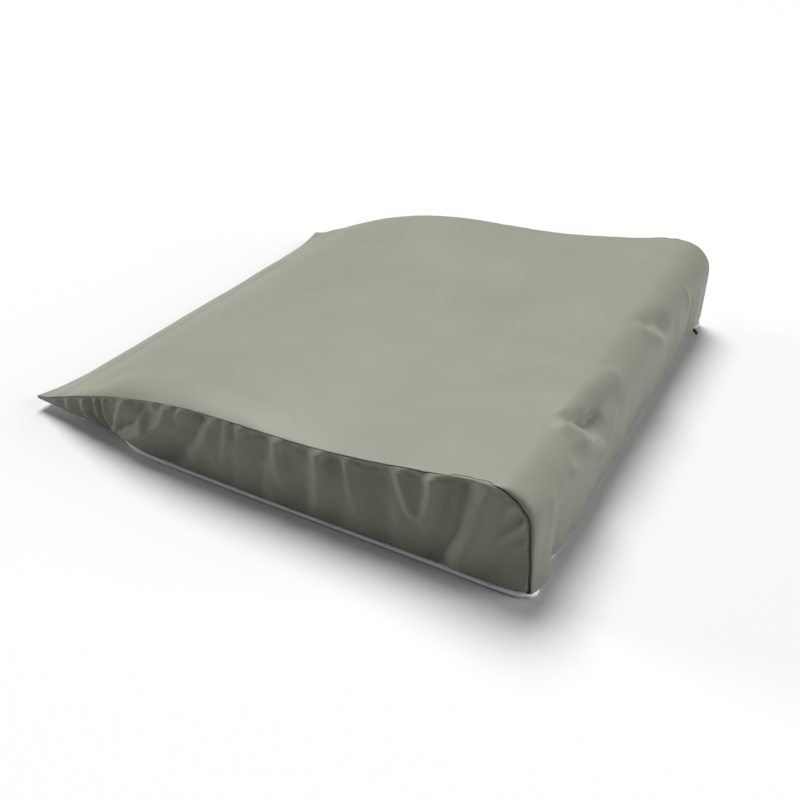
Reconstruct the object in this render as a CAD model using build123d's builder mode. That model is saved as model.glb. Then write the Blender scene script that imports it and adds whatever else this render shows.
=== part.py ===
"""Contoured baby changing pad: a foam core in a wipe-clean cover that zips off at the head side.

Frame: origin at the centre of the resting face, +X from the thin foot edge to the thick head side,
+Y from the near end to the far end, +Z up. Millimetres.
"""

from build123d import *
from math import cos, radians, sin
import os

# ---- driving dimensions ---------------------------------------------------------------------
pad_length = 680.0  # foot edge to head side
pad_width = 670.0  # near end to far end
head_height = 124.0
head_radius = 38.0  # roll of the head side
foot_edge_height = 12.0
lounge_height = 99.0  # the flatter middle that the baby lies on

fabric = 1.2  # thickness of the coated fabric and of the base fabric
seam_allowance = 10.0
thread = 0.6
foam_gap = 0.5
base_rim = 6.0  # the base fabric turns up this far to meet the end panels

zip_start = -272.0  # the chain's closed end, in Y
zip_finish = 300.0
zip_recess = 9.6  # the tapes lie this far inside the head side
chain_z = 7.5  # height of the chain's centre line
tape_thickness = 0.6
upper_tape_width = 14.0
lower_tape_turn = 9.0  # the lower tape turns in and lies on the base this far
tape_edge_gap = 1.2  # from the chain's centre line to each tape's edge
tape_overrun = 10.0  # tape beyond each end of the chain
coil_depth = 2.2
coil_half_width = 2.8
coil_spine = 1.2
tooth_pitch = 2.4
tooth_width = 0.9
tooth_reach = 0.6  # how far each row of teeth passes the centre line

slider_length = 11.0
slider_front_width = 8.8
slider_rear_width = 7.4
slider_plate = 1.2
slider_clearance = 0.4
slider_post = 2.5  # the wedge that parts the two rows of teeth
post_width = 2.0
lug_length = 6.4
lug_window = 4.4
lug_rise = 3.3
lug_wall = 1.1
lug_width = 1.6
pull_length = 20.0
pull_width = 5.6
pull_root_width = 5.0
pull_thickness = 1.2
pull_eye = (4.6, 3.2)  # length and width of the hole that straddles the lug
pull_rest_angle = 35.0  # degrees that the pull stands off the chain
slider_corner = 1.6  # corner radii of the slider's plates, its lug and the pull's tip
lug_corner = 1.4
pull_corner = 2.2
post_setback = 0.5  # from the slider's closing end to its post
pivot_rise = 1.1  # from the slider's outer plate to the bar of the pull

stop_length = 3.0  # the metal stops clamped at the chain's two ends
stop_width = 1.8
stop_corner = 0.4
stop_offset = 2.4  # from the centre line to each top stop
stop_gap = 0.3  # between the closed slider and the top stops
stop_lip = 0.4  # how far the bottom stop stands beyond the coils

# ---- worked out from them ---------------------------------------------------------------------
half_length = pad_length / 2
half_width = pad_width / 2
seam_inset = 2 * fabric  # under the top panel and the end panel's turned-in allowance
thread_insets = (seam_inset, seam_inset + thread)
thread_end_gap = 30.0  # the base's seam stops this far from the zipper
foam_inset = seam_inset + thread + foam_gap
skirt_hem = chain_z + 5.0
base_lip = chain_z - 5.0
tape_x = half_length - zip_recess
foam_relief = (18.5, 54.5)  # foam bevel behind the zipper, in X and Z
slider_y = zip_finish - 2.0  # the slider's centre when the zipper is closed
chain_end = slider_y - 1.0
outer_plate_x = tape_x + coil_depth + slider_clearance
lug_base_x = outer_plate_x + slider_plate
pull_pivot = (lug_base_x + pivot_rise, slider_y, chain_z)


# The top's outline from the foot edge to the start of the roll, in X and Z.
crest = Spline(
    (-half_length, foot_edge_height),
    (-178, 77),
    (-60, lounge_height - 3),
    (53, lounge_height),
    (193, 111),
    (half_length - head_radius, head_height),
    tangents=[(1, 0.62), (1, 0)],
)
crest_steps = 16


def section(inset=0.0, floor=0.0, y=0.0):
    """The pad's outline in the plane at y, moved inwards by inset and cut off below floor."""
    steps = [step / crest_steps for step in range(crest_steps + 1)]
    lowered = [crest @ t - (crest % t).rotate(Axis.Z, 90) * inset for t in steps]
    with BuildSketch(Plane.XZ.offset(-y)) as outline:
        with BuildLine():
            top = Spline(*lowered, tangents=[crest % 0, crest % 1])
            roll = RadiusArc(top @ 1, (half_length - inset, head_height - head_radius), head_radius - inset)
            side = Line(roll @ 1, (half_length - inset, 0))
            base = Line(side @ 1, ((top @ 0).X, 0))
            Line(base @ 1, top @ 0)
        make_face()
        with Locations((inset - half_length, max(inset, floor))):
            Rectangle(2 * pad_length, 2 * head_height, align=Align.MIN, mode=Mode.INTERSECT)
    return outline.sketch


def save(part, name):
    """Labels a finished piece and writes it as its own file."""
    part.label = name
    export_step(part, f"parts/{name}.step")
    return part


os.makedirs("parts", exist_ok=True)

# ---- foam core ----------------------------------------------------------------------------
with BuildPart() as foam_core:
    extrude(section(foam_inset), amount=half_width - foam_inset, both=True)
    with BuildSketch(Plane.XZ) as relief:
        with BuildLine():
            Polyline(
                (half_length, 0),
                (half_length, foam_relief[1]),
                (half_length - foam_inset, foam_relief[1]),
                (half_length - foam_inset - foam_relief[0], 0),
                close=True,
            )
        make_face()
    extrude(amount=pad_width, both=True, mode=Mode.SUBTRACT)
save(foam_core.part, "foam_core")

# ---- top panel: foot edge, over the top, down the head side, turned in above the zipper ------
with BuildPart() as top_panel:
    extrude(section(floor=base_rim), amount=half_width, both=True)
    extrude(section(fabric), amount=half_width, both=True, mode=Mode.SUBTRACT)
    with BuildSketch(Plane.XY) as zip_mouth:
        with Locations((half_length, 0)):
            Rectangle(2 * head_radius, 2 * pad_width)
    extrude(amount=skirt_hem, mode=Mode.SUBTRACT)
    with BuildSketch(Plane.XZ) as turned_hem:
        with Locations((tape_x, skirt_hem)):
            Rectangle(zip_recess - fabric, fabric, align=Align.MIN)
            Rectangle(fabric, seam_allowance, align=Align.MIN)
    extrude(amount=half_width - fabric - seam_allowance, both=True)
save(top_panel.part, "top_panel")

# ---- end panels, with their seam allowance turned in under the top panel ----------------------
for end, edge_y, inwards in (("near", -half_width, 1), ("far", half_width, -1)):
    plate_y = edge_y + inwards * fabric
    flange_y = plate_y + inwards * seam_allowance
    with BuildPart() as end_panel:
        extrude(section(fabric, base_rim, plate_y), amount=inwards * fabric)
        flange, core = (section(inset, skirt_hem + fabric, flange_y) for inset in (fabric, seam_inset))
        extrude(flange - core, amount=inwards * seam_allowance)
    save(end_panel.part, f"{end}_end_panel")

    thread_y = plate_y + inwards * seam_allowance / 2
    with BuildPart() as seam_thread:
        outer, inner = (section(inset, skirt_hem + seam_allowance, thread_y) for inset in thread_insets)
        extrude(outer - inner, amount=inwards * thread)
    save(seam_thread.part, f"{end}_seam_thread")

# ---- base panel: a shallow tray of fabric, turned in below the zipper --------------------------
with BuildPart() as base_panel:
    with BuildSketch(Plane.XY) as base_outline:
        Rectangle(pad_length, pad_width)
    extrude(amount=base_rim)
    with BuildSketch(Plane.XY.offset(fabric)) as base_hollow:
        Rectangle(pad_length - 2 * fabric, pad_width - 2 * fabric)
    extrude(amount=base_rim, mode=Mode.SUBTRACT)
    with BuildSketch(Plane.XZ) as head_rim_cut:
        with Locations((half_length, base_lip)):
            Rectangle(2 * head_radius, base_rim, align=(Align.CENTER, Align.MIN))
    extrude(amount=half_width - fabric, both=True, mode=Mode.SUBTRACT)
    with BuildSketch(Plane.XZ) as base_lip_strip:
        with Locations((tape_x, base_lip)):
            Rectangle(zip_recess, fabric, align=(Align.MIN, Align.MAX))
    extrude(amount=half_width - fabric, both=True)
save(base_panel.part, "base_panel")

with BuildPart() as base_seam_thread:
    with BuildSketch(Plane.XY.offset(base_rim / 2)) as thread_run:
        with BuildLine():
            inner_x = half_length - fabric - thread / 2
            inner_y = half_width - fabric - thread / 2
            run_end = tape_x - thread_end_gap
            Polyline((run_end, -inner_y), (-inner_x, -inner_y), (-inner_x, inner_y), (run_end, inner_y))
            offset(amount=thread / 2, side=Side.BOTH)
        make_face()
    extrude(amount=thread)
save(base_seam_thread.part, "base_seam_thread")

# ---- zipper tapes -------------------------------------------------------------------------------
tape_half_run = (zip_finish - zip_start) / 2 + tape_overrun
tape_plane = Plane.XZ.offset(-(zip_start + zip_finish) / 2)
with BuildPart() as upper_zipper_tape:
    with BuildSketch(tape_plane) as upper_tape_section:
        with Locations((tape_x, chain_z + tape_edge_gap)):
            Rectangle(tape_thickness, upper_tape_width, align=(Align.MAX, Align.MIN))
    extrude(amount=tape_half_run, both=True)
save(upper_zipper_tape.part, "upper_zipper_tape")

with BuildPart() as lower_zipper_tape:
    with BuildSketch(tape_plane) as lower_tape_section:
        with Locations((tape_x, fabric)):
            Rectangle(tape_thickness, chain_z - tape_edge_gap - fabric, align=(Align.MAX, Align.MIN))
            Rectangle(lower_tape_turn, tape_thickness, align=(Align.MAX, Align.MIN))
    extrude(amount=tape_half_run, both=True)
save(lower_zipper_tape.part, "lower_zipper_tape")

# ---- threads that hold the tapes ------------------------------------------------------------------
with BuildPart() as upper_zip_thread:
    with BuildSketch(tape_plane) as upper_thread_section:
        with Locations((tape_x + fabric, skirt_hem + seam_allowance / 2)):
            Rectangle(thread, thread, align=(Align.MIN, Align.MIN))
    extrude(amount=tape_half_run, both=True)
save(upper_zip_thread.part, "upper_zip_thread")

with BuildPart() as lower_zip_thread:
    with BuildSketch(tape_plane) as lower_thread_section:
        with Locations((tape_x - lower_tape_turn / 2, fabric + tape_thickness)):
            Rectangle(thread, thread, align=(Align.MIN, Align.MIN))
    extrude(amount=tape_half_run, both=True)
save(lower_zip_thread.part, "lower_zip_thread")

# ---- zipper coils: two combs whose teeth pass between each other ------------------------------
teeth = int((chain_end - zip_start) / tooth_pitch) - 1
for coil_name, side, shift in (("upper_zipper_coil", 1, 0), ("lower_zipper_coil", -1, tooth_pitch / 2)):
    with BuildPart() as coil:
        with BuildSketch(Plane.YZ.offset(tape_x)) as comb:
            with Locations(((zip_start + chain_end) / 2, chain_z + side * (coil_half_width - coil_spine / 2))):
                Rectangle(chain_end - zip_start, coil_spine)
            tooth_length = coil_half_width - coil_spine + tooth_reach
            first_tooth = zip_start + tooth_pitch / 2 + shift
            centre_y = first_tooth + (teeth - 1) * tooth_pitch / 2
            with Locations((centre_y, chain_z + side * (tooth_length / 2 - tooth_reach))):
                with GridLocations(tooth_pitch, 0, teeth, 1):
                    Rectangle(tooth_width, tooth_length)
        extrude(amount=coil_depth)
    save(coil.part, coil_name)

# ---- stops at the two ends of the chain --------------------------------------------------------
with BuildPart() as zipper_top_stops:
    with BuildSketch(Plane.YZ.offset(tape_x)) as top_stop_faces:
        for side in (1, -1):
            with Locations((slider_y + slider_length / 2 + stop_gap, chain_z + side * stop_offset)):
                Rectangle(stop_length, stop_width, align=(Align.MIN, Align.CENTER))
    extrude(amount=coil_depth)
    fillet(zipper_top_stops.edges().filter_by(Axis.Z), radius=stop_corner)
save(zipper_top_stops.part, "zipper_top_stops")

with BuildPart() as zipper_bottom_stop:
    with BuildSketch(Plane.YZ.offset(tape_x)) as bottom_stop_face:
        with Locations((zip_start, chain_z)):
            Rectangle(stop_length, 2 * (coil_half_width + stop_lip), align=(Align.MAX, Align.CENTER))
    extrude(amount=coil_depth + stop_lip)
    fillet(zipper_bottom_stop.edges().filter_by(Axis.Z), radius=stop_corner)
save(zipper_bottom_stop.part, "zipper_bottom_stop")


# ---- slider: two plates joined by a post at the closing end, and a lug for the pull -------------
def slider_outline(x):
    """The slider's plate outline on the plane at x: wide at the closing end, narrow at the other."""
    with BuildSketch(Plane.YZ.offset(x)) as outline:
        with BuildLine():
            front = slider_front_width / 2
            rear = slider_rear_width / 2
            reach = slider_length / 2
            Polyline(
                (slider_y + reach, chain_z - front),
                (slider_y + reach, chain_z + front),
                (slider_y - reach, chain_z + rear),
                (slider_y - reach, chain_z - rear),
                close=True,
            )
        make_face()
        fillet(outline.vertices(), radius=slider_corner)
    return outline.sketch


with BuildPart() as zipper_slider:
    inner_plate_x = tape_x - tape_thickness - slider_clearance
    extrude(slider_outline(inner_plate_x), amount=-slider_plate)
    extrude(slider_outline(tape_x + slider_clearance), amount=lug_base_x - tape_x - slider_clearance)
    guide_width = 2 * (coil_half_width + slider_clearance)
    with BuildSketch(Plane.YZ.offset(tape_x)) as chain_channel:
        with Locations((slider_y, chain_z)):
            Rectangle(2 * slider_length, guide_width)
    extrude(amount=coil_depth + slider_clearance, mode=Mode.SUBTRACT)
    post_y = slider_y + slider_length / 2 - slider_post - post_setback
    with BuildSketch(Plane.YZ.offset(inner_plate_x)) as post:
        with Locations((post_y, chain_z)):
            Rectangle(slider_post, post_width, align=(Align.MIN, Align.CENTER))
    extrude(amount=outer_plate_x - inner_plate_x)
    with BuildSketch(Plane.XY.offset(chain_z - lug_width / 2)) as lug:
        with Locations((lug_base_x, slider_y)):
            Rectangle(lug_rise, lug_length, align=(Align.MIN, Align.CENTER))
            fillet(lug.vertices().group_by(Axis.X)[-1], radius=lug_corner)
            Rectangle(lug_rise - lug_wall, lug_window, align=(Align.MIN, Align.CENTER), mode=Mode.SUBTRACT)
    extrude(amount=lug_width)
save(zipper_slider.part, "zipper_slider")

# ---- pull: a tab whose bar turns inside the slider's lug -------------------------------------------
out_x, along_y = sin(radians(pull_rest_angle)), -cos(radians(pull_rest_angle))
pull_plane = Plane(origin=pull_pivot, x_dir=(out_x, along_y, 0), z_dir=(-along_y, out_x, 0))
bar_radius = pull_thickness / 2
with BuildPart() as zipper_pull:
    with BuildSketch(pull_plane) as tab:
        with BuildLine():
            Polyline(
                (0, -pull_root_width / 2),
                (pull_length, -pull_width / 2),
                (pull_length, pull_width / 2),
                (0, pull_root_width / 2),
                close=True,
            )
        make_face()
        fillet(tab.vertices().group_by(Axis.X)[-1], radius=pull_corner)
        Rectangle(pull_eye[0], pull_eye[1], align=(Align.MIN, Align.CENTER), mode=Mode.SUBTRACT)
    extrude(amount=bar_radius, both=True)
    with BuildSketch(Plane.XY.offset(chain_z)) as bar:
        with Locations(pull_pivot[:2]):
            Circle(bar_radius)
    extrude(amount=pull_root_width / 2, both=True)
save(zipper_pull.part, "zipper_pull")
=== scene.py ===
import math

import bpy
import numpy as np
from mathutils import Euler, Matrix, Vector


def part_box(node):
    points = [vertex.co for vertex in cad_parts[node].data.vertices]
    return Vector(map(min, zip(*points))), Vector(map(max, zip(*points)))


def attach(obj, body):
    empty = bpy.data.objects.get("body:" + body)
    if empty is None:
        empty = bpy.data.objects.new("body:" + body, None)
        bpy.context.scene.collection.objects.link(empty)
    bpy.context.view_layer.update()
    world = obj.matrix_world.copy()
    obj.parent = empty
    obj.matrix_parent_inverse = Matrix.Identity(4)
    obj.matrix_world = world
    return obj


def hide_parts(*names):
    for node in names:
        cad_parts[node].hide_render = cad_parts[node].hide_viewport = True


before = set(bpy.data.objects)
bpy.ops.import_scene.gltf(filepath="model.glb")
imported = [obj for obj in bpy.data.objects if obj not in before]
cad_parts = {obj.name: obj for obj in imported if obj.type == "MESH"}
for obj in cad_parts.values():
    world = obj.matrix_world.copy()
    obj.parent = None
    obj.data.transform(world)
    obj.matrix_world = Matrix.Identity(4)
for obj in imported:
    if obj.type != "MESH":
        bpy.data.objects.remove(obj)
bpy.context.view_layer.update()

# Everything is in metres, in the part's frame: +X from the thin foot edge to the head side, +Y from the
# near end to the far end, +Z up.
FOOT_X, HEAD_X = -0.340, 0.340
END_Y = 0.335
ROLL = 0.038  # radius of the head side's roll
HEAD_Z = 0.124
ROLL_X, ROLL_Z = HEAD_X - ROLL, HEAD_Z - ROLL
HEM_Z = 0.0128  # the hem over the zipper
REST_Z = 0.0004  # the underside lies this far above the CAD's floor
FLOOR_Z = -0.0004
SETTLE_FRAMES = 20
HEAD_SETTLED, END_SETTLED = 0.35, 0.45  # the share that is kept of how far the cloth moves


# ---- small tools ------------------------------------------------------------------------------

def lin(colour):
    """Linear RGBA from 0-255 sRGB."""
    c = np.asarray(colour, float) / 255
    c = np.where(c <= 0.04045, c / 12.92, ((c + 0.055) / 1.055) ** 2.4)
    return (*c.tolist(), 1.0)


def cubic(knots, start=None, end=None):
    """A smooth curve z(x) through the knots, with its end slopes set where they are given."""
    x, z = np.array(knots, float).T
    n = len(x)
    h = np.diff(x)
    a, b = np.zeros((n, n)), np.zeros(n)
    for i in range(1, n - 1):
        a[i, i - 1 : i + 2] = 1 / h[i - 1], 2 * (1 / h[i - 1] + 1 / h[i]), 1 / h[i]
        b[i] = 3 * ((z[i] - z[i - 1]) / h[i - 1] ** 2 + (z[i + 1] - z[i]) / h[i] ** 2)
    for i, j, slope in ((0, 1, start), (n - 1, n - 2, end)):
        if slope is None:
            a[i, i], a[i, j], b[i] = 2, 1, 3 * (z[j] - z[i]) / (x[j] - x[i])
        else:
            a[i, i], b[i] = 1, slope
    m = np.linalg.solve(a, b)

    def at(p):
        p = np.clip(np.asarray(p, float), x[0], x[-1])
        i = np.clip(np.searchsorted(x, p) - 1, 0, n - 2)
        w = h[i]
        t = (p - x[i]) / w
        return (
            (2 * t**3 - 3 * t**2 + 1) * z[i]
            + (t**3 - 2 * t**2 + t) * w * m[i]
            + (3 * t**2 - 2 * t**3) * z[i + 1]
            + (t**3 - t**2) * w * m[i + 1]
        )

    return at


def ease(t):
    t = np.clip(t, 0, 1)
    return t * t * (3 - 2 * t)


def hill(away, width):
    """A soft bump: 1 where away is 0, and almost nothing beyond two widths."""
    return np.exp(-((away / width) ** 2))


def lengths_along(line):
    """Each point's distance along a line of points."""
    return np.concatenate([[0], np.cumsum(np.linalg.norm(np.diff(line, axis=0), axis=1))])


def pick(at, along, line):
    """Points at the places at, on a line whose own points are at the places along."""
    return np.stack([np.interp(at, along, line[:, k]) for k in range(line.shape[1])], 1)


def folds(a, b, lines):
    """Height at the points (a, b) of soft folds.

    Each fold is (path, width, height at its start, height at its end).
    """
    out = np.zeros_like(a)
    for path, width, first, last in lines:
        path = np.array(path, float)
        steps = np.linalg.norm(np.diff(path, axis=0), axis=1)
        along = np.concatenate([[0], np.cumsum(steps)]) / steps.sum()
        best = np.full(a.shape, np.inf)
        where = np.zeros_like(a)
        for i in range(len(steps)):
            d = path[i + 1] - path[i]
            t = np.clip(((a - path[i, 0]) * d[0] + (b - path[i, 1]) * d[1]) / (d @ d), 0, 1)
            away = np.hypot(a - path[i, 0] - t * d[0], b - path[i, 1] - t * d[1])
            nearer = away < best
            best = np.where(nearer, away, best)
            where = np.where(nearer, along[i] + t * (along[i + 1] - along[i]), where)
        out += (first + (last - first) * where) * hill(best, width)
    return out


def drift(a, b, size, seed, stretch=1.0):
    """Smooth, gently random height, about -1 to 1, with bumps of about that size."""
    waves, share = 22, 6
    rng = np.random.default_rng(seed)
    out = np.zeros_like(a)
    for _ in range(waves):
        angle, turn = rng.uniform(0, math.pi), rng.uniform(0, 2 * math.pi)
        k = 2 * math.pi / (size * rng.uniform(0.6, 1.8))
        out += np.cos(k * (a * math.cos(angle) + b * math.sin(angle) * stretch) + turn)
    return out / share


def grid_faces(rows, columns, flip=False):
    i, j = np.meshgrid(np.arange(rows - 1), np.arange(columns - 1), indexing="ij")
    q = np.stack([i * columns + j, i * columns + j + 1, (i + 1) * columns + j + 1, (i + 1) * columns + j],
                 -1)
    q = q.reshape(-1, 4)
    return (q[:, ::-1] if flip else q).tolist()


def add_mesh(name, points, faces, material, smooth=True):
    mesh = bpy.data.meshes.new(name)
    mesh.from_pydata(np.asarray(points, float).reshape(-1, 3).tolist(), [], faces)
    mesh.validate()
    mesh.update()
    if smooth:
        mesh.polygons.foreach_set("use_smooth", [True] * len(mesh.polygons))
    piece = bpy.data.objects.new(name, mesh)
    bpy.context.scene.collection.objects.link(piece)
    piece.data.materials.append(material)
    return piece


def subdivide(piece, levels=1):
    mod = piece.modifiers.new("smooth", "SUBSURF")
    mod.levels = mod.render_levels = levels
    mod.boundary_smooth = "PRESERVE_CORNERS"
    return piece


# ---- the pad's outline ------------------------------------------------------------------------

crest = cubic(
    [(-0.340, 0.0115), (-0.271, 0.0435), (-0.224, 0.0625), (-0.178, 0.077), (-0.132, 0.0878),
     (-0.085, 0.0943),
     (-0.030, 0.0973), (0.053, 0.0988), (0.100, 0.1008), (0.146, 0.1048), (0.193, 0.1108), (0.239, 0.1172),
     (0.280, 0.1222), (0.302, 0.1240)],
    start=0.52, end=0.0,
)


TOP_LENGTH = 0.66
FOOT_RIM = [
    (FOOT_X + 0.0015, 0.0030), (FOOT_X - 0.0005, 0.0060), (FOOT_X - 0.0010, 0.0090),
]


def profile(step):
    """The top panel's line along X, from the foot edge over the top and down the head side.

    Gives x, z, the outward normal and q, the distance along the line counted from the start of the roll.
    """
    x = np.linspace(FOOT_X + 0.001, ROLL_X, int(TOP_LENGTH / step))
    turn = np.linspace(0, math.pi / 2, int(ROLL * math.pi / 2 / step) + 1)[1:]
    side = np.linspace(ROLL_Z, HEM_Z, int((ROLL_Z - HEM_Z) / step) + 1)[1:]
    line = np.concatenate([
        FOOT_RIM,
        np.stack([x, crest(x)], 1),
        np.stack([ROLL_X + ROLL * np.sin(turn), ROLL_Z + ROLL * np.cos(turn)], 1),
        np.stack([np.full_like(side, HEAD_X), side], 1),
    ])
    along = lengths_along(line)
    at = np.linspace(0, along[-1], int(along[-1] / step) + 1)
    soft = pick(at, along, line)
    for _ in range(3):
        soft[1:-1] = (soft[:-2] + 2 * soft[1:-1] + soft[2:]) / 4
    tangent = np.gradient(soft, axis=0)
    tangent /= np.linalg.norm(tangent, axis=1)[:, None]
    normal = np.stack([-tangent[:, 1], tangent[:, 0]], 1)
    q = at - at[np.argmin(np.hypot(soft[:, 0] - ROLL_X, soft[:, 1] - HEAD_Z))]
    return soft[:, 0], soft[:, 1], normal, q


# Along a station w of the panel, which is x up to the roll and then goes on down the head side: how far the
# end seam lies below the panel's middle line, how far in from the end, how wide the edge rolls over, and how
# far the panel slopes down before it.
seam_drop = cubic([
    (-0.345, 0.0), (-0.315, 0.0005), (-0.270, 0.0020), (-0.190, 0.0008), (-0.100, 0.0006), (0.000, 0.0012),
    (0.080, 0.0014), (0.140, 0.0018), (0.190, 0.0016), (0.240, 0.0010), (0.296, 0.0010), (0.309, 0.0052),
    (0.322, 0.0086), (0.345, 0.0100), (0.365, 0.0092), (0.400, 0.0070), (0.440, 0.0058),
])
seam_in = cubic([
    (-0.345, 0.0172), (-0.300, 0.0135), (-0.260, 0.0092), (-0.190, 0.0035), (-0.130, 0.0008), (-0.080, 0.0),
    (0.250, 0.0), (0.440, 0.0005),
])
edge_roll = cubic([
    (-0.345, 0.0040), (-0.300, 0.0080), (-0.200, 0.0120), (-0.100, 0.0120),
    (0.000, 0.0110), (0.150, 0.0090), (0.240, 0.0060), (0.300, 0.0060),
    (0.325, 0.0120), (0.370, 0.0190), (0.440, 0.0210),
])
shoulder = cubic([
    (-0.345, 0.0), (-0.300, 0.0), (-0.250, 0.0034), (-0.200, 0.0060), (-0.120, 0.0046), (-0.050, 0.0032),
    (0.030, 0.0022), (0.100, 0.0018), (0.180, 0.0008), (0.240, 0.0), (0.440, 0.0),
])
SEAM_Y = END_Y - 0.0014
SLOPE_Y = 0.310  # the panel starts to slope down to the seams here
TIP_Z = 0.0172  # the two corners of the foot edge point up to this height

# Soft folds of the top panel: (y, q) paths, q along the panel from the start of the head roll.
TOP_FOLDS = [
    # the deep dent in the head side: a wedge that opens towards the far end, then the ridges round it
    ([(-0.193, 0.011), (-0.173, 0.025)], 0.008, -0.0052, -0.0050),
    ([(-0.170, 0.029), (-0.140, 0.044)], 0.014, -0.0074, -0.0068),
    ([(-0.136, 0.036), (-0.102, 0.042)], 0.019, -0.0074, -0.0050),
    ([(-0.170, 0.039), (-0.138, 0.058)], 0.011, -0.0040, -0.0038),
    ([(-0.206, 0.014), (-0.200, 0.039), (-0.172, 0.064), (-0.132, 0.086)], 0.011, 0.0034, 0.0022),
    ([(-0.178, 0.003), (-0.130, 0.008), (-0.085, 0.018)], 0.012, 0.0016, 0.0024),
    ([(-0.078, 0.024), (-0.100, 0.046), (-0.124, 0.070)], 0.013, 0.0022, 0.0018),
    ([(-0.226, 0.040), (-0.204, 0.058), (-0.165, 0.086)], 0.010, -0.0014, -0.0016),
    ([(-0.238, 0.050), (-0.202, 0.080), (-0.169, 0.108)], 0.010, 0.0018, 0.0012),
    # the smaller one towards the far end
    ([(0.062, 0.020), (0.100, 0.040)], 0.014, -0.0052, -0.0036),
    ([(0.095, 0.040), (0.140, 0.064)], 0.018, -0.0030, -0.0012),
    ([(0.042, 0.022), (0.072, 0.052), (0.136, 0.080)], 0.010, 0.0030, 0.0018),
    # upright folds by the two corners
    ([(-0.298, 0.050), (-0.308, 0.085), (-0.316, 0.116)], 0.009, 0.0016, 0.0030),
    ([(-0.272, 0.072), (-0.280, 0.125)], 0.011, -0.0016, -0.0028),
    ([(-0.205, 0.100), (-0.210, 0.128)], 0.018, 0.0010, 0.0020),
    ([(0.205, 0.040), (0.204, 0.066)], 0.006, 0.0013, 0.0013),
    ([(0.232, 0.060), (0.236, 0.120)], 0.008, -0.0014, -0.0026),
    ([(0.268, 0.070), (0.262, 0.125)], 0.008, 0.0012, 0.0018),
    # long faint folds that run from the dents over the top
    ([(-0.190, -0.140), (-0.157, -0.017), (-0.070, 0.000)], 0.010, 0.0002, 0.0010),
    ([(-0.176, -0.080), (-0.121, -0.043), (-0.060, -0.020)], 0.009, 0.0004, 0.0009),
    ([(-0.150, -0.120), (-0.060, -0.010)], 0.010, -0.0002, -0.0008),
    ([(0.271, -0.035), (0.209, -0.046), (0.130, -0.057)], 0.008, 0.0007, 0.0004),
    ([(0.278, -0.152), (0.109, -0.198)], 0.009, 0.0005, 0.0003),
    ([(0.300, -0.240), (0.210, -0.300)], 0.012, 0.0004, 0.0002),
]
TOP_FOLD_DEPTH = 1.4


def top_height(y, q):
    """How far the top panel stands out from its plain outline at (y, q)."""
    out = TOP_FOLD_DEPTH * folds(y, q, TOP_FOLDS)
    out += 0.0005 * drift(y, q, 0.16, 3) + 0.00022 * drift(y, q, 0.055, 4)
    # the side between the roll and the hem hangs a little loose
    side = ease((q - 0.045) / 0.03)
    out += side * (0.0006 * drift(y, q * 0.35, 0.060, 5) + 0.0004)
    # a soft swell along the near end that falls away to the seam
    x = q + ROLL_X
    swell = ease((x + 0.250) / 0.050) * ease((0.060 - x) / 0.120)
    out += 0.0030 * swell * hill(y + 0.297, 0.023)
    # the foot edge: a rolled rim and a shallow hollow beside it
    out += 0.0008 * hill(x + 0.318, 0.010) - 0.0006 * hill(x + 0.292, 0.012)
    return out


STEP = 0.004
EDGE_TURN = np.radians(128)  # the edges roll over this far, down to the end seams
EDGE_POINTS = 9
# Stations where the end seams are nicked by the gathers, and a nick's depth and width.
NICK_DEPTH, NICK_WIDTH = 0.0009, 0.0045
SEAM_NICKS = [-0.232, -0.185, -0.155, -0.110, -0.086, -0.042, 0.012, 0.064, 0.118, 0.182, 0.222, 0.276,
              0.312, 0.334]


def across(edge, roll):
    """y and depth of roll from one end seam to the other, for a station whose edge rolls over that far."""
    theta = np.linspace(EDGE_TURN, 0, EDGE_POINTS + 1)[:-1]
    edge_y = edge - roll + roll * np.sin(theta)
    depth = (1 - np.cos(theta)) / (1 - math.cos(EDGE_TURN))
    flat = np.linspace(-(edge - roll), edge - roll, int(2 * END_Y / STEP))
    y = np.concatenate([-edge_y, flat, edge_y[::-1]])
    return y, np.concatenate([depth, np.zeros_like(flat), depth[::-1]])


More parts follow.
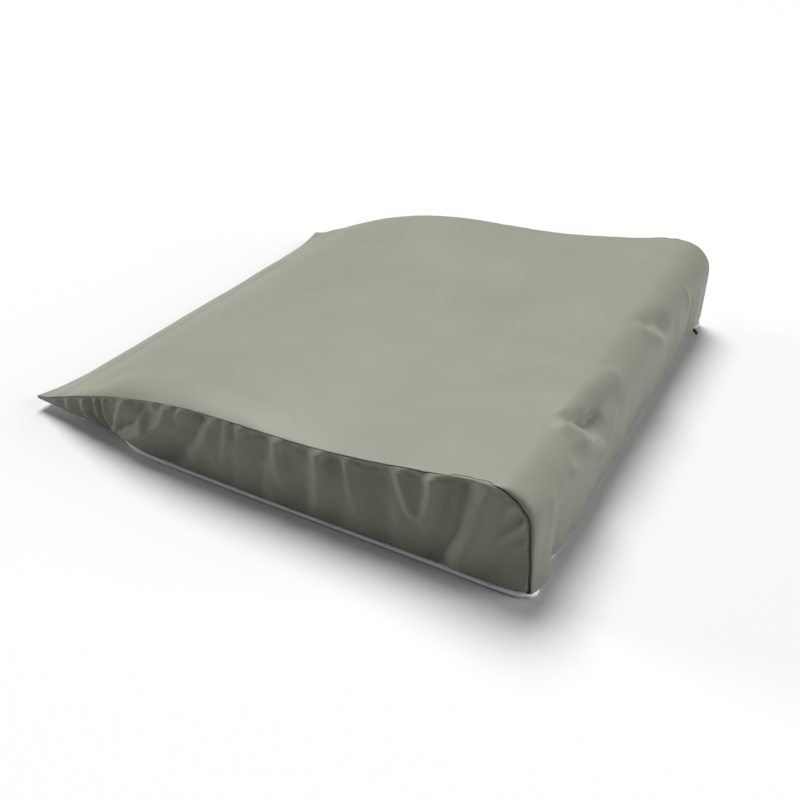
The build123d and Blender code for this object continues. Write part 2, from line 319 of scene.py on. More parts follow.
def make_top(inset=0.0):
    """The top panel's points, in rows across the pad, moved inwards by inset. Also q for each row."""
    x, z, normal, q = profile(STEP)
    w = np.where(q < 0, x, ROLL_X + q)
    nicks = sum(NICK_DEPTH * hill(w - at, NICK_WIDTH) for at in SEAM_NICKS)
    rows = []
    for i in range(len(x)):
        edge = SEAM_Y - float(seam_in(w[i]))
        y, depth = across(edge, float(edge_roll(w[i])))
        n = normal[i]
        # the two corners of the foot edge are lifted, and the edge between them is drawn in
        from_foot, out_y = x[i] - FOOT_X, np.abs(y)
        corner = np.clip((out_y - 0.22) / 0.10, 0, 1) ** 2 * max(0.0, 1 - from_foot / 0.05)
        lifted = corner * np.maximum(0, TIP_Z + 0.3 * (z[i] - 0.003) - z[i])
        pulled = 0.0025 * (1 - (out_y / END_Y) ** 4) * max(0.0, 1 - from_foot / 0.06)
        # the end seams lie lower than the middle, and the panel slopes down to them
        unevenness = 0.0004 * math.sin(w[i] * 151) * math.sin(w[i] * 67)
        drop = float(seam_drop(w[i])) + unevenness + nicks[i]
        sloping = np.clip((out_y - SLOPE_Y) / (SEAM_Y - SLOPE_Y), 0, 1) ** 2 * float(shoulder(w[i]))
        h = top_height(y, np.full_like(y, q[i])) * (1 - depth) - drop * depth - sloping - inset
        # the hem reaches lowest by the near corner and is drawn up by the far one
        below = max(0.0, 1 - (z[i] - HEM_Z) / 0.05) if q[i] > 0.06 else 0.0
        lifted = lifted - 0.0034 * below * ease((-0.276 - y) / 0.034)
        lifted = lifted + 0.0016 * below * ease((y - 0.24) / 0.04)
        pulled = pulled - 0.0035 * corner + 0.0046 * below * hill(out_y - 0.310, 0.020) * (y < 0)
        row_x, row_z = x[i] + n[0] * h + pulled, z[i] + n[1] * h + lifted
        rows.append(np.stack([row_x, y * (1 - inset / END_Y), row_z], 1))
    return np.array(rows), q


# ---- materials --------------------------------------------------------------------------------

def new_material(name):
    m = bpy.data.materials.new(name)
    m.use_nodes = True
    nodes = m.node_tree.nodes
    return m, nodes, m.node_tree.links, nodes["Principled BSDF"]


def woven(name, colour, scale, roughness):
    """Plain weave: two sets of fine ridges that cross, and a little variation."""
    m, nodes, links, bsdf = new_material(name)
    where = nodes.new("ShaderNodeTexCoord")
    ridges = []
    for axis in ("X", "Y"):
        wave = nodes.new("ShaderNodeTexWave")
        wave.bands_direction = axis
        wave.inputs["Scale"].default_value = scale / 3
        wave.inputs["Distortion"].default_value = 0.6
        links.new(where.outputs["Object"], wave.inputs["Vector"])
        ridges.append(wave)
    both = nodes.new("ShaderNodeMath")
    both.operation = "MULTIPLY"
    links.new(ridges[0].outputs["Fac"], both.inputs[0])
    links.new(ridges[1].outputs["Fac"], both.inputs[1])
    tint = nodes.new("ShaderNodeTexNoise")
    tint.inputs["Scale"].default_value = 30
    links.new(where.outputs["Object"], tint.inputs["Vector"])
    ramp = nodes.new("ShaderNodeValToRGB")
    dark = tuple(0.93 * c for c in colour)
    ramp.color_ramp.elements[0].position = 0.3
    ramp.color_ramp.elements[0].color = lin(dark)
    ramp.color_ramp.elements[1].position = 0.7
    ramp.color_ramp.elements[1].color = lin(colour)
    links.new(tint.outputs["Fac"], ramp.inputs["Fac"])
    links.new(ramp.outputs["Color"], bsdf.inputs["Base Color"])
    bump = nodes.new("ShaderNodeBump")
    bump.inputs["Strength"].default_value = 0.4
    bump.inputs["Distance"].default_value = 0.0002
    links.new(both.outputs["Value"], bump.inputs["Height"])
    links.new(bump.outputs["Normal"], bsdf.inputs["Normal"])
    bsdf.inputs["Roughness"].default_value = roughness
    return m


def plain_metal(name, colour, metallic=0.6, roughness=0.35):
    """A smooth hard surface with faint wear."""
    lighter, uneven = 16, 0.08
    m, nodes, links, bsdf = new_material(name)
    where = nodes.new("ShaderNodeTexCoord")
    wear = nodes.new("ShaderNodeTexNoise")
    wear.inputs["Scale"].default_value = 600
    wear.inputs["Detail"].default_value = 4
    links.new(where.outputs["Object"], wear.inputs["Vector"])
    ramp = nodes.new("ShaderNodeValToRGB")
    ramp.color_ramp.elements[0].color = lin(colour)
    ramp.color_ramp.elements[1].color = lin(tuple(min(255, c + lighter) for c in colour))
    links.new(wear.outputs["Fac"], ramp.inputs["Fac"])
    links.new(ramp.outputs["Color"], bsdf.inputs["Base Color"])
    shine = nodes.new("ShaderNodeMapRange")
    shine.inputs["To Min"].default_value = roughness - uneven
    shine.inputs["To Max"].default_value = roughness + uneven
    links.new(wear.outputs["Fac"], shine.inputs["Value"])
    links.new(shine.outputs["Result"], bsdf.inputs["Roughness"])
    bsdf.inputs["Metallic"].default_value = metallic
    return m


def coated_fabric():
    """Smooth coated fabric: a little cloudy, with fine grain and pores."""
    m, nodes, links, bsdf = new_material("coated_fabric")
    where = nodes.new("ShaderNodeTexCoord")
    cloud = nodes.new("ShaderNodeTexNoise")
    cloud.inputs["Scale"].default_value = 9
    cloud.inputs["Detail"].default_value = 3
    ramp = nodes.new("ShaderNodeValToRGB")
    ramp.color_ramp.elements[0].position = 0.3
    ramp.color_ramp.elements[0].color = lin((117, 118, 106))
    ramp.color_ramp.elements[1].position = 0.7
    ramp.color_ramp.elements[1].color = lin((122, 123, 111))
    grain = nodes.new("ShaderNodeTexVoronoi")
    grain.feature = "SMOOTH_F1"
    grain.inputs["Scale"].default_value = 1100
    pores = nodes.new("ShaderNodeTexNoise")
    pores.inputs["Scale"].default_value = 420
    pores.inputs["Detail"].default_value = 4
    mix = nodes.new("ShaderNodeMath")
    mix.operation = "MULTIPLY_ADD"
    mix.inputs[1].default_value = 0.6
    bump = nodes.new("ShaderNodeBump")
    bump.inputs["Strength"].default_value = 0.25
    bump.inputs["Distance"].default_value = 0.0003
    shine = nodes.new("ShaderNodeMapRange")
    shine.inputs["To Min"].default_value = 0.44
    shine.inputs["To Max"].default_value = 0.56
    for n in (cloud, grain, pores):
        links.new(where.outputs["Object"], n.inputs["Vector"])
    links.new(cloud.outputs["Fac"], ramp.inputs["Fac"])
    links.new(ramp.outputs["Color"], bsdf.inputs["Base Color"])
    links.new(grain.outputs["Distance"], mix.inputs[0])
    links.new(pores.outputs["Fac"], mix.inputs[2])
    links.new(mix.outputs["Value"], bump.inputs["Height"])
    links.new(bump.outputs["Normal"], bsdf.inputs["Normal"])
    links.new(pores.outputs["Fac"], shine.inputs["Value"])
    links.new(shine.outputs["Result"], bsdf.inputs["Roughness"])
    bsdf.inputs["Specular IOR Level"].default_value = 0.22
    return m


leather = coated_fabric()
base_cloth = woven("base_cloth", (240, 240, 246), 900, 0.75)
tape_cloth = woven("tape_cloth", (58, 58, 58), 1500, 0.8)
thread_cloth = woven("thread_cloth", (62, 62, 54), 2200, 0.8)
base_thread_cloth = woven("base_thread_cloth", (222, 222, 226), 2200, 0.8)
foam_stuff = woven("foam_cells", (240, 235, 215), 260, 0.95)
zinc = plain_metal("dark_zinc", (44, 44, 46))
nylon = plain_metal("nylon", (36, 36, 38), metallic=0.0, roughness=0.4)


# ---- cloth ------------------------------------------------------------------------------------
def settle(grid, free, spare, pressure, stiff, inward, outward, side=1):
    """Let a sheet, given as a grid of points, fall into small folds of its own.

    The sheet is held where free is 0, is cut larger than its opening by the share spare, and is blown
    outwards a little. Gives how far each point moves, limited to inward and outward.
    """
    shape = grid.shape[:2]
    sheet = add_mesh("sheet", grid, grid_faces(*shape, flip=side > 0), leather)
    hold = sheet.vertex_groups.new(name="hold")
    levels = np.round(free.reshape(-1), 2)
    for level in np.unique(levels):
        which = np.nonzero(levels == level)[0].tolist()
        hold.add(which, float((1 - level) ** 3) if level > 0 else 1.0, "REPLACE")
    cloth = sheet.modifiers.new("cloth", "CLOTH")
    fabric = cloth.settings
    fabric.vertex_group_mass = "hold"
    fabric.quality = 6
    fabric.mass = 0.05
    fabric.tension_stiffness = 20
    fabric.compression_stiffness = 20
    fabric.shear_stiffness = 8
    fabric.bending_stiffness = stiff
    fabric.shrink_min = -spare
    fabric.use_pressure = True
    fabric.uniform_pressure_force = pressure
    fabric.effector_weights.gravity = 0
    cloth.collision_settings.use_collision = False
    cloth.collision_settings.use_self_collision = False
    cloth.point_cache.frame_end = SETTLE_FRAMES
    for frame_number in range(1, SETTLE_FRAMES + 1):
        bpy.context.scene.frame_set(frame_number)
    settled = sheet.evaluated_get(bpy.context.evaluated_depsgraph_get())
    points = np.empty(len(levels) * 3, dtype=np.float32)
    settled.data.vertices.foreach_get("co", points)
    moved = points.reshape(*shape, 3).astype(float) - grid
    bpy.context.scene.frame_set(1)
    bpy.data.objects.remove(sheet)
    along, down = np.gradient(grid, axis=0), np.gradient(grid, axis=1)
    normal = np.cross(along, down)
    normal *= side / np.maximum(np.linalg.norm(normal, axis=2), 1e-12)[..., None]
    out = (moved * normal).sum(2)
    limited = np.where(out > 0, outward * np.tanh(out / outward), inward * np.tanh(out / inward))
    return moved + (limited - out)[..., None] * normal


# ---- top panel --------------------------------------------------------------------------------
rows, row_q = make_top()
first = int(np.argmax(row_q > 0.0))
loose = rows[first:]
free = np.zeros(loose.shape[:2])
below_roll = ease((row_q[first + 1 : -1] - 0.030) / 0.05)[:, None]
off_seams = ease((0.315 - np.abs(loose[1:-1, 1:-1, 1])) / 0.03)
free[1:-1, 1:-1] = below_roll * off_seams
rows[first:] = loose + HEAD_SETTLED * settle(
    loose, free, spare=0.006, pressure=0.4, stiff=4.0, inward=0.0028, outward=0.0045
)
# the seam allowance turns in behind the end panels
turned_near = rows[:, :1] + np.array([0, 0.005, -0.0012])
turned_far = rows[:, -1:] + np.array([0, -0.005, -0.0012])
rows_top = np.concatenate([turned_near, rows, turned_far], 1)
# and the hem turns in above the zipper
hem = rows_top[-1]
hem_steps = [
    (-0.0003, -0.0004), (-0.0012, -0.0007), (-0.0050, -0.0007),
    (-0.0082, -0.0004), (-0.0090, 0.0010), (-0.0090, 0.0080),
]
hem_rows = [hem + np.array([dx, 0, dz]) for dx, dz in hem_steps]
rows_top = np.concatenate([rows_top, np.array(hem_rows)], 0)
top = add_mesh("top_cover", rows_top, grid_faces(*rows_top.shape[:2], flip=True), leather)
subdivide(top)

# ---- end panels -------------------------------------------------------------------------------
# The panel's bottom edge from the foot corner to the head corner: x, distance in from the end, height.
BOTTOM_TIP = [(-0.3385, 0.0187, 0.0146)]
BOTTOM_HEAD = [(0.270, 0.0005, 0.0062), (0.318, 0.0008, 0.0078), (0.334, 0.0020, 0.0092)]
BOTTOM_NEAR = BOTTOM_TIP + [
    (-0.303, 0.0180, 0.0130), (-0.264, 0.0170, 0.0106), (-0.220, 0.0160, 0.0100), (-0.199, 0.0150, 0.0095),
    (-0.181, 0.0080, 0.0088), (-0.158, 0.0030, 0.0070), (-0.138, 0.0020, 0.0062), (-0.058, 0.0010, 0.0056),
    (0.000, 0.0005, 0.0056),
] + BOTTOM_HEAD
BOTTOM_FAR = BOTTOM_TIP + [
    (-0.290, 0.0165, 0.0118), (-0.240, 0.0120, 0.0090), (-0.205, 0.0110, 0.0080), (-0.180, 0.0060, 0.0074),
    (-0.142, 0.0020, 0.0070), (-0.058, 0.0010, 0.0064), (0.000, 0.0005, 0.0062),
] + BOTTOM_HEAD
# Soft folds of an end panel: (x, z) paths, width, height at the seam, height at the far end.
NEAR_FOLDS = [
    ([(-0.168, 0.073), (-0.178, 0.054), (-0.192, 0.028), (-0.203, 0.012)], 0.0055, 0.0012, 0.0024),
    ([(-0.122, 0.084), (-0.125, 0.074)], 0.0024, 0.0014, 0.0004),
    ([(-0.097, 0.086), (-0.106, 0.068), (-0.126, 0.046), (-0.162, 0.026), (-0.193, 0.014)], 0.0080,
     0.0012, 0.0030),
    ([(-0.076, 0.090), (-0.086, 0.072), (-0.098, 0.052)], 0.0060, 0.0018, 0.0004),
    ([(-0.032, 0.094), (-0.046, 0.067), (-0.065, 0.035)], 0.0110, 0.0014, 0.0010),
    ([(-0.014, 0.094), (-0.016, 0.067), (-0.028, 0.022)], 0.0070, 0.0014, 0.0005),
    ([(0.003, 0.093), (0.003, 0.076), (-0.002, 0.050)], 0.0070, 0.0018, 0.0004),
    ([(0.020, 0.094), (0.018, 0.080)], 0.0040, 0.0008, 0.0002),
    ([(0.050, 0.093), (0.049, 0.073), (0.054, 0.040)], 0.0085, 0.0022, 0.0006),
    ([(0.074, 0.095), (0.080, 0.060)], 0.0070, 0.0010, 0.0010),
    ([(0.102, 0.095), (0.104, 0.067), (0.102, 0.034)], 0.0085, 0.0022, 0.0006),
    ([(0.133, 0.100), (0.142, 0.070), (0.150, 0.040)], 0.0070, 0.0014, 0.0008),
    ([(0.194, 0.104), (0.201, 0.082), (0.212, 0.060)], 0.0065, 0.0020, 0.0012),
    ([(0.231, 0.114), (0.235, 0.088), (0.226, 0.060)], 0.0085, 0.0024, 0.0014),
    ([(0.292, 0.112), (0.281, 0.067), (0.264, 0.020)], 0.0160, 0.0014, 0.0022),
    ([(0.311, 0.106), (0.306, 0.090)], 0.0034, 0.0018, 0.0004),
    ([(0.326, 0.092), (0.315, 0.077), (0.303, 0.065)], 0.0040, 0.0018, 0.0008),
    ([(0.331, 0.070), (0.320, 0.060)], 0.0034, 0.0012, 0.0004),
    # the hollows between them
    ([(-0.142, 0.074), (-0.156, 0.052), (-0.180, 0.034)], 0.0070, -0.0018, -0.0014),
    ([(-0.056, 0.088), (-0.078, 0.050), (-0.108, 0.012)], 0.0150, -0.0024, -0.0024),
    ([(0.030, 0.090), (0.027, 0.060), (0.024, 0.014)], 0.0110, -0.0018, -0.0010),
    ([(0.077, 0.094), (0.078, 0.060), (0.074, 0.020)], 0.0100, -0.0018, -0.0010),
    ([(0.122, 0.097), (0.126, 0.060), (0.124, 0.020)], 0.0100, -0.0014, -0.0010),
    ([(0.168, 0.102), (0.174, 0.066), (0.180, 0.016)], 0.0150, -0.0020, -0.0018),
    ([(0.217, 0.107), (0.217, 0.080), (0.217, 0.070)], 0.0060, -0.0010, -0.0003),
    ([(0.258, 0.112), (0.250, 0.060), (0.240, 0.012)], 0.0130, -0.0036, -0.0030),
    # the gathered corner by the foot
    ([(-0.206, 0.058), (-0.209, 0.034), (-0.205, 0.014)], 0.0032, 0.0026, 0.0022),
    ([(-0.213, 0.054), (-0.216, 0.032), (-0.210, 0.014)], 0.0030, -0.0026, -0.0018),
    ([(-0.221, 0.052), (-0.224, 0.032), (-0.214, 0.014)], 0.0034, 0.0026, 0.0018),
    ([(-0.233, 0.048), (-0.236, 0.030), (-0.226, 0.014)], 0.0040, -0.0024, -0.0016),
    ([(-0.246, 0.044), (-0.249, 0.028), (-0.240, 0.014)], 0.0044, 0.0022, 0.0014),
    ([(-0.261, 0.040), (-0.264, 0.026), (-0.258, 0.014)], 0.0044, -0.0018, -0.0012),
    ([(-0.277, 0.036), (-0.280, 0.022)], 0.0042, 0.0018, 0.0010),
    ([(-0.291, 0.031), (-0.294, 0.020)], 0.0036, -0.0014, -0.0006),
    ([(-0.305, 0.026), (-0.307, 0.018)], 0.0032, 0.0010, 0.0004),
]
FOLD_DEPTH = 2.3
FAN_X = 0.296  # from here on the lines between the seam and the bottom edge fan out round the roll
CORNER_POINTS = 12  # the bottom edge's last points bend in to the head corner
UPRIGHT_POINTS = 30  # the seam's last points, where it comes down the head side
END_COLUMNS = 40
# Where the seam is gathered, as x.
NEAR_PUCKERS = [-0.250, -0.232, -0.213, -0.185, -0.155, -0.132, -0.110, -0.086, -0.060, -0.042, -0.022,
                -0.006, 0.012, 0.034,
                0.064, 0.090, 0.118, 0.148, 0.182, 0.207, 0.222, 0.246, 0.276, 0.298, 0.312]


def nearest(px, pz, line):
    """Each point's distance to a line of (x, z) points."""
    out = np.full(px.shape, np.inf)
    for k in range(len(line) - 1):
        d = line[k + 1] - line[k]
        t = np.clip(((px - line[k, 0]) * d[0] + (pz - line[k, 1]) * d[1]) / max(d @ d, 1e-12), 0, 1)
        out = np.minimum(out, np.hypot(px - line[k, 0] - t * d[0], pz - line[k, 1] - t * d[1]))
    return out


def make_end(name, side, seam, bottom, lines, puckers, seed):
    """An end panel between its seam with the top panel and its bottom edge. side is -1 for the near end."""
    # the seam goes on down to the corner of the base
    hem_end = seam[-1]
    corner_z = bottom[-1][2]
    down = np.linspace(hem_end, hem_end * [1, 1, 0] + [-0.0005, -side * 0.0003, corner_z], 3)[1:]
    seam = np.concatenate([seam, down])
    lengths = lengths_along(seam[:, [0, 2]])
    # each seam point has its own point on the bottom edge: straight below, or fanned out round the roll
    knots = np.array(bottom)
    reach_x = np.where(seam[:, 0] < FAN_X, seam[:, 0], 0)
    round_start = np.argmax(seam[:, 0] >= FAN_X)
    rest = (lengths[round_start:] - lengths[round_start]) / (lengths[-1] - lengths[round_start])
    reach_x[round_start:] = FAN_X + (seam[-1, 0] - FAN_X) * (1 - (1 - rest) ** 1.7)
    inwards, height = cubic(knots[:, [0, 1]])(reach_x), cubic(knots[:, [0, 2]])(reach_x)
    low = np.stack([reach_x, side * (END_Y - inwards), height], 1)
    low[-1] = seam[-1]
    before = -CORNER_POINTS - 1
    left = seam[-1, 1] - low[before, 1] - (low[-CORNER_POINTS:, 1] - low[before, 1])
    low[-CORNER_POINTS:, 1] = low[-CORNER_POINTS:, 1] + left * ease(np.linspace(0, 1, CORNER_POINTS))
    t = 1 - (1 - np.linspace(0, 1, END_COLUMNS)) ** 1.5
    panel = low[:, None] + (seam - low)[:, None] * t[None, :, None]
    x, z = panel[..., 0], panel[..., 2]
    to_seam = nearest(x, z, seam[:, [0, 2]])
    to_low = nearest(x, z, low[:, [0, 2]])
    inside = ease(to_seam / 0.010) * ease(to_low / 0.006)
    out = 0.0016 * (1 - np.exp(-to_seam / 0.0014)) + 0.0016 * (1 - np.exp(-to_low / 0.003)) - 0.0006
    out += 0.0022 * ease(to_seam / 0.04) * ease(to_low / 0.05)
    out += 0.0009 * hill(to_seam - 0.0016, 0.0013) * (0.35 + 0.65 * ease((x + 0.23) / 0.06))
    out += FOLD_DEPTH * folds(x, z, lines) * ease(to_seam / 0.006) * (0.35 + 0.65 * ease(to_low / 0.012))
    out += inside * (0.0011 * drift(x, z, 0.050, seed, 0.35) + 0.0004 * drift(x, z, 0.018, seed + 1, 0.4))
    # short gathers at the seam
    rng = np.random.default_rng(seed)
    for at in puckers:
        here = lengths[:, None] - lengths[np.argmin(np.abs(seam[:, 0] - at))]
        deep = rng.uniform(0.0010, 0.0018)
        wide = rng.uniform(0.0022, 0.0036)
        long = rng.uniform(0.006, 0.012)
        out -= deep * hill(here, wide) * hill(to_seam, long) * ease(to_seam / 0.0015)
    panel[..., 1] += side * out
    # it settles as a coarser, even grid; the point where the panel ends at the head corner is left out
    even = np.linspace(0, 1, 25)
    coarse = np.stack([pick(even, t, line) for line in panel])
    free = np.zeros(coarse[:-1].shape[:2])
    free[2:-2, 1:-1] = 1
    moved = np.zeros_like(coarse)
    moved[:-1] = END_SETTLED * settle(
        coarse[:-1], free, spare=0.030, pressure=0.3, stiff=0.5, inward=0.0050, outward=0.0055, side=-side
    )
    moved = np.stack([pick(t, even, line) for line in moved])
    panel += moved * (ease(to_seam / 0.008) * ease(to_low / 0.030))[..., None]
    # the seam allowances turn in behind the top panel and over the base
    behind = panel[:, -1] + np.array([0, -side * 0.0045, -0.0018])
    behind[-UPRIGHT_POINTS:, 2] = panel[-UPRIGHT_POINTS:, -1, 2]
    panel = np.concatenate([panel, behind[:, None]], 1)
    under = panel[:, 0] + np.array([0, -side * 0.004, 0.0])
    panel = np.concatenate([under[:, None], panel], 1)
    piece = add_mesh(name, panel, grid_faces(*panel.shape[:2], flip=side < 0), leather)
    subdivide(piece)
    return piece, seam, low


# The far end is gathered in the same way, with folds of its own.
rng = np.random.default_rng(11)
FAR_FOLDS, FAR_PUCKERS = [], []
at = -0.300
while at < 0.31:
    top_z = float(crest(at)) - 0.010
    lean, reach = rng.uniform(-0.022, 0.014), rng.uniform(0.35, 0.9)
    path = [(at, top_z), (at + 0.4 * lean, top_z * (1 - 0.4 * reach)),
            (at + lean, top_z * (1 - reach) + 0.008)]
    sign = 1 if rng.random() < 0.6 else -1
    width = rng.uniform(0.004, 0.010)
    high = sign * rng.uniform(0.0007, 0.0017)
    FAR_FOLDS.append((path, width, high, sign * rng.uniform(0.0002, 0.0012)))
    FAR_PUCKERS.append(at)
    at += rng.uniform(0.014, 0.040)

near_end, near_seam, near_low = make_end(
    "near_end_cover", -1, rows[:, 0], BOTTOM_NEAR, NEAR_FOLDS, NEAR_PUCKERS, seed=21
)
far_end, far_seam, far_low = make_end(
    "far_end_cover", 1, rows[:, -1], BOTTOM_FAR, FAR_FOLDS, FAR_PUCKERS, seed=31
)


# ---- base panel -------------------------------------------------------------------------------
def resample(line, step):
    along = lengths_along(line)
    return pick(np.linspace(0, along[-1], int(along[-1] / step) + 1), along, line)


ROUNDED = 8  # points at each end of a row of the top panel that belong to its rolled edge
foot = rows[0][ROUNDED:-ROUNDED]
# it bulges out a little at the two corners of the head side and lies back under the zipper between them
corner_edge = np.array([
    (0.3372, -0.3292, 0.0080), (0.3404, -0.3242, 0.0066), (0.3404, -0.3186, 0.0048),
    (0.3350, -0.3120, 0.0034), (0.3300, -0.2980, 0.0024), (HEAD_X - 0.0075, -0.2600, 0.0026),
])
head_edge = np.concatenate([corner_edge, corner_edge[::-1] * [1, -1, 1]])
loop = np.concatenate([near_low, head_edge, far_low[::-1], foot[::-1]])
loop = resample(np.concatenate([loop, loop[:1]]), STEP)[:-1]
for _ in range(2):
    loop[:, :2] = (np.roll(loop, 1, 0) + 2 * loop + np.roll(loop, -1, 0))[:, :2] / 4
tangent = np.roll(loop, -2, 0) - np.roll(loop, 2, 0)
outward = np.stack([tangent[:, 1], -tangent[:, 0]], 1)
outward /= np.linalg.norm(outward, axis=1)[:, None]
# where its edge is high, as at the foot corners, the cloth leaves the floor and stays nearly flat
lift_from = np.where(loop[:, 0] > 0, 0.0080, 0.0062)
raised = ease((loop[:, 2] - lift_from) / 0.004)[:, None]
LIFTED_IN = 0.055  # a raised stretch comes down to the floor over this distance
SHRUNK_IN = 0.005  # from here inwards the rings shrink towards the middle, and don't cross at the corners
rings = []
# rings of points round the edge: how far out, and their share of the edge's height
for out_by, share in ((-0.0030, 1.0), (0.0000, 1.0), (0.0019, 0.86), (0.0025, 0.58), (0.0019, 0.28),
                      (-0.0010, 0.04), (-0.008, 0.0), (-0.020, 0.0), (-0.040, 0.0), (-0.070, 0.0)):
    far_in = max(0.0, -out_by)
    raised_share = 1 if far_in < 0.001 else max(share, 1 - far_in / LIFTED_IN)
    lift = loop[:, 2:] * ((1 - raised) * share + raised * raised_share)
    if far_in < SHRUNK_IN:
        ring_xy = loop[:, :2] + outward * (out_by - (0.0012 if out_by > 0 else 0) * raised)
    else:
        ring_xy = loop[:, :2] * (1 - far_in / np.array([HEAD_X, END_Y]))
    rings.append(np.concatenate([ring_xy, np.maximum(lift, REST_Z)], 1))
inner_xy = rings[-1][:, :2]
for share in (0.75, 0.5, 0.25, 0.02):
    rings.append(np.concatenate([inner_xy * share, np.full((len(loop), 1), REST_Z)], 1))
ring_count, ring_size = len(rings), len(loop)
faces = []
for i in range(ring_count - 1):
    for j in range(ring_size):
        k = (j + 1) % ring_size
        faces.append([i * ring_size + j, (i + 1) * ring_size + j, (i + 1) * ring_size + k,
                      i * ring_size + k])
faces.append([(ring_count - 1) * ring_size + j for j in range(ring_size)][::-1])
base = add_mesh("base_cover", np.array(rings), faces, base_cloth)
lip_y = np.linspace(-SEAM_Y + 0.006, SEAM_Y - 0.006, 120)
lip_line = [
    (HEAD_X - 0.0066, 0.0012), (HEAD_X - 0.0067, 0.0021), (HEAD_X - 0.0074, 0.0026),
    (HEAD_X - 0.0086, 0.0025), (HEAD_X - 0.0093, 0.0021), (HEAD_X - 0.0094, 0.0008),
]
# beyond the zipper's ends the lip stands up behind the hem and closes the corner
closed = 0.0095 * (ease((-0.294 - lip_y) / 0.005) + ease((lip_y - 0.313) / 0.005))
LIP_LEAN = 0.3  # it leans in as it stands up
LIP_FOOT = 0.0015  # the lip's lines above this height stand up, those below stay on the floor
lip_rows = []
for x, z in lip_line:
    rise = closed if z > LIP_FOOT else np.zeros_like(closed)
    lip_rows.append(np.stack([x - LIP_LEAN * closed, lip_y, z + rise], 1))
lip_rows = np.array(lip_rows)
lip = add_mesh("base_hem", lip_rows, grid_faces(len(lip_line), len(lip_y)), base_cloth)

# ---- foam core --------------------------------------------------------------------------------
FOAM_Z, FOAM_SIDE_Z = 0.0030, 0.012  # its underside, and the foot of its sides
foam_rows, _ = make_top(inset=0.0075)
keep = foam_rows[:, foam_rows.shape[1] // 2, 2] > FOAM_SIDE_Z
foam_rows = foam_rows[keep]
foam_rows = foam_rows[:, ROUNDED:-ROUNDED]
foam_rows[..., 1] *= 0.985
columns = foam_rows.shape[1]
last_y, first_y = foam_rows[-1, :, 1], foam_rows[0, :, 1]
bottom_rows = []
for x, z, y in (
    (0.3270, FOAM_SIDE_Z, last_y), (0.3200, 0.0032, last_y), (0.10, FOAM_Z, last_y),
    (-0.10, FOAM_Z, first_y), (-0.25, FOAM_Z, first_y), (-0.305, FOAM_Z, first_y),
):
    bottom_rows.append(np.stack([np.full(columns, x), y, np.full(columns, z)], 1))
foam_rows = np.concatenate([foam_rows, np.array(bottom_rows), foam_rows[:1]])
n_rows = len(foam_rows) - 1
foam_faces = grid_faces(n_rows + 1, columns, flip=True)
foam_faces = [[v % (n_rows * columns) for v in f] for f in foam_faces]
foam_faces.append([i * columns for i in range(n_rows)])
foam_faces.append([i * columns + columns - 1 for i in range(n_rows)][::-1])
foam = add_mesh("foam", foam_rows[:-1], foam_faces, foam_stuff, smooth=False)


# ---- threads ----------------------------------------------------------------------------------
def tube(name, paths, radius, material, sides=6):
    """One mesh of round cords, one along each path."""
    verts, faces = [], []
    for path in paths:
        path = np.asarray(path, float)
        n = len(path)
        tan = np.gradient(path, axis=0)
        tan /= np.linalg.norm(tan, axis=1)[:, None]
        up = np.where(np.abs(tan[:, 2:]) < 0.8, np.array([[0, 0, 1.0]]), np.array([[1.0, 0, 0]]))
        one = np.cross(tan, up)
        one /= np.linalg.norm(one, axis=1)[:, None]
        two = np.cross(tan, one)
        first = len(verts)
        for i in range(n):
            for k in range(sides):
                a = 2 * math.pi * k / sides
                verts.append(path[i] + radius * (math.cos(a) * one[i] + math.sin(a) * two[i]))
        for i in range(n - 1):
            here, beyond = first + i * sides, first + (i + 1) * sides
            for k in range(sides):
                after = (k + 1) % sides
                faces.append([here + k, here + after, beyond + after, beyond + k])
        faces.append([first + k for k in range(sides)][::-1])
        faces.append([first + (n - 1) * sides + k for k in range(sides)])
    return add_mesh(name, verts, faces, material)


def stitches(line, pitch, length):
    """Short runs of thread along a line."""
    along = lengths_along(line)
    out = []
    start = pitch
    while start + length < along[-1]:
        out.append(pick(np.linspace(start, start + length, 4), along, line))
        start += pitch
    return out


pieces = {}
for end, seam, side in (("near", near_seam, -1), ("far", far_seam, 1)):
    line = seam[2:-2] + np.array([0, -side * 0.0008, 0])
    pieces[f"{end}_seam_thread"] = tube(
        f"{end}_seam_stitches", stitches(line, pitch=0.0032, length=0.0026), 0.00030, thread_cloth
    )
base_line = np.concatenate([far_low[::-1], foot[::-1], near_low]) + np.array([0, 0, 0.0001])
base_line[:, :2] *= 0.9965
pieces["base_seam_thread"] = tube(
    "base_seam_stitches", stitches(base_line, pitch=0.0034, length=0.0027), 0.00028, base_thread_cloth
)

# ---- zipper -----------------------------------------------------------------------------------
TAPE_X, CHAIN_Z = HEAD_X - 0.0096, 0.0075
COIL_PITCH, COIL_WIRE, COIL_POINTS = 0.0024, 0.00034, 10
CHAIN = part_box("upper_zipper_coil")
for side, node, shift in ((1, "upper_zipper_coil", 0.0), (-1, "lower_zipper_coil", COIL_PITCH / 2)):
    y0, y1 = CHAIN[0][1], CHAIN[1][1]
    turns = int((y1 - y0) / COIL_PITCH) - 1
    phi = np.arange(turns * COIL_POINTS) / COIL_POINTS * 2 * math.pi
    y = y0 + COIL_PITCH / 2 + shift + phi / (2 * math.pi) * COIL_PITCH
    x = TAPE_X + 0.00115 + 0.00070 * np.sin(phi)
    z = CHAIN_Z + side * (0.0010 - 0.00125 * np.cos(phi))
    name = node.replace("zipper_coil", "coil")
    pieces[node] = tube(name, [np.stack([x, y, z], 1)], COIL_WIRE, nylon, sides=5)


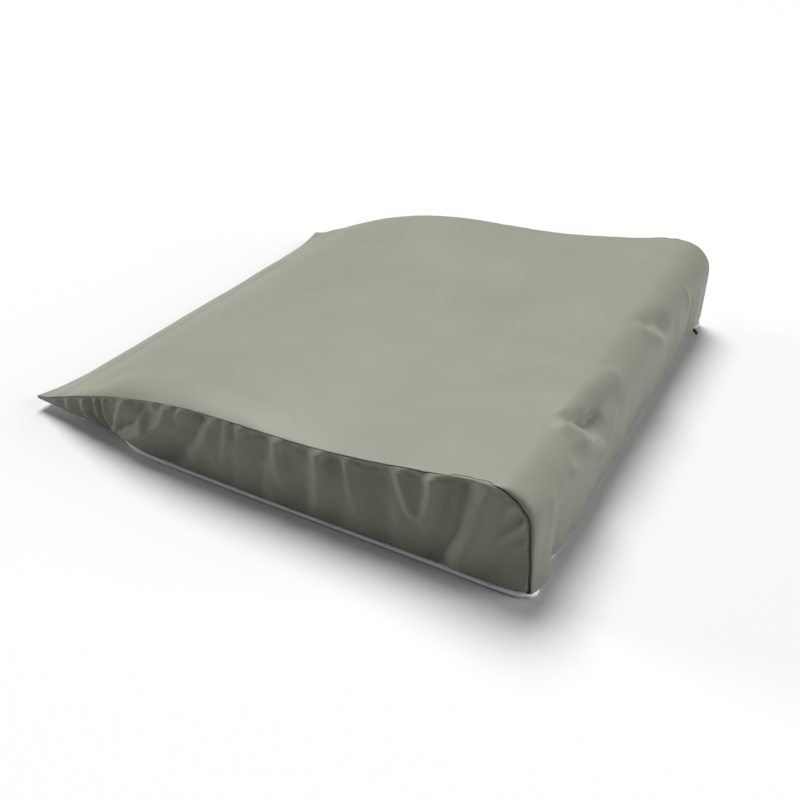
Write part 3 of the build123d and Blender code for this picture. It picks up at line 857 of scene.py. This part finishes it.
def softened(node, width):
    """A copy of a CAD node with its edges rounded."""
    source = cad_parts[node]
    copy = source.copy()
    copy.data = source.data.copy()
    copy.name = node + "_finished"
    bpy.context.scene.collection.objects.link(copy)
    weld = copy.modifiers.new("weld", "WELD")
    weld.merge_threshold = 0.00001
    bevel = copy.modifiers.new("edges", "BEVEL")
    bevel.width = width
    bevel.segments = 2
    bevel.limit_method = "ANGLE"
    bevel.angle_limit = math.radians(40)
    copy.data.materials.clear()
    copy.data.materials.append(zinc)
    return copy


# ---- camera, lights and floor -------------------------------------------------------------------
cam = bpy.data.cameras.new("camera")
cam.lens = 40.63
cam.sensor_width = 36
camera = bpy.data.objects.new("camera", cam)
camera.location = (0.537, -0.944, 0.623)
camera.rotation_euler = Euler((math.radians(57.92), 0, math.radians(29.19)))
bpy.context.scene.collection.objects.link(camera)
bpy.context.scene.camera = camera


def soft_sun(name, towards, strength, spread, shine=True):
    """A broad, even light from that direction."""
    data = bpy.data.lights.new(name, "SUN")
    data.energy = strength
    data.angle = math.radians(spread)
    light = bpy.data.objects.new(name, data)
    light.rotation_euler = Vector(towards).to_track_quat("Z", "Y").to_euler()
    light.visible_glossy = shine
    bpy.context.scene.collection.objects.link(light)


soft_sun("overhead", (-0.38, 0.42, 1.0), 4.72, 34)
soft_sun("side", (1.0, 0.22, 0.42), 2.2, 34)
soft_sun("low", (-1.0, -0.05, 0.16), 2.2, 12, shine=False)
bpy.context.scene.view_settings.view_transform = "Standard"
world = bpy.data.worlds.new("studio")
world.use_nodes = True
world.node_tree.nodes["Background"].inputs["Color"].default_value = (1, 1, 1, 1)
world.node_tree.nodes["Background"].inputs["Strength"].default_value = 0.07
bpy.context.scene.world = world

floor_material, _, _, bsdf = new_material("floor")
bsdf.inputs["Base Color"].default_value = (0.56, 0.56, 0.56, 1)
bsdf.inputs["Roughness"].default_value = 0.9
FLOOR_REACH = 8
floor_corners = [(x * FLOOR_REACH, y * FLOOR_REACH, FLOOR_Z) for x,
                 y in ((-1, -1), (1, -1), (1, 1), (-1, 1))]
floor = add_mesh("floor", floor_corners, [(0, 1, 2, 3)], floor_material)

# ---- what each piece rides on, and what it stands for --------------------------------------------
slider = softened("zipper_slider", 0.00025)
pull = softened("zipper_pull", 0.0002)
for piece, body, nodes_replaced, slot in (
    (top, "pad", ["top_panel"], "cover_fabric"),
    (near_end, "pad", ["near_end_panel"], "cover_fabric"),
    (far_end, "pad", ["far_end_panel"], "cover_fabric"),
    (base, "pad", ["base_panel"], "base_fabric"),
    (lip, "pad", [], "base_fabric"),
    (foam, "pad", ["foam_core"], "foam"),
    (pieces["near_seam_thread"], "pad", ["near_seam_thread"], "cover_thread"),
    (pieces["far_seam_thread"], "pad", ["far_seam_thread"], "cover_thread"),
    (pieces["base_seam_thread"], "pad", ["base_seam_thread"], "base_thread"),
    (pieces["upper_zipper_coil"], "pad", ["upper_zipper_coil"], "zip_coil"),
    (pieces["lower_zipper_coil"], "pad", ["lower_zipper_coil"], "zip_coil"),
    (slider, "slider", ["zipper_slider"], "zip_metal"),
    (pull, "pull_tab", ["zipper_pull"], "pull_metal"),
):
    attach(piece, body)
    if nodes_replaced:
        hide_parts(*nodes_replaced)
for node, material in (
    ("upper_zipper_tape", tape_cloth), ("lower_zipper_tape", tape_cloth),
    ("upper_zip_thread", thread_cloth),
    ("lower_zip_thread", base_thread_cloth), ("zipper_top_stops", zinc), ("zipper_bottom_stop", zinc),
):
    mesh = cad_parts[node].data
    mesh.materials.clear()
    mesh.materials.append(material)
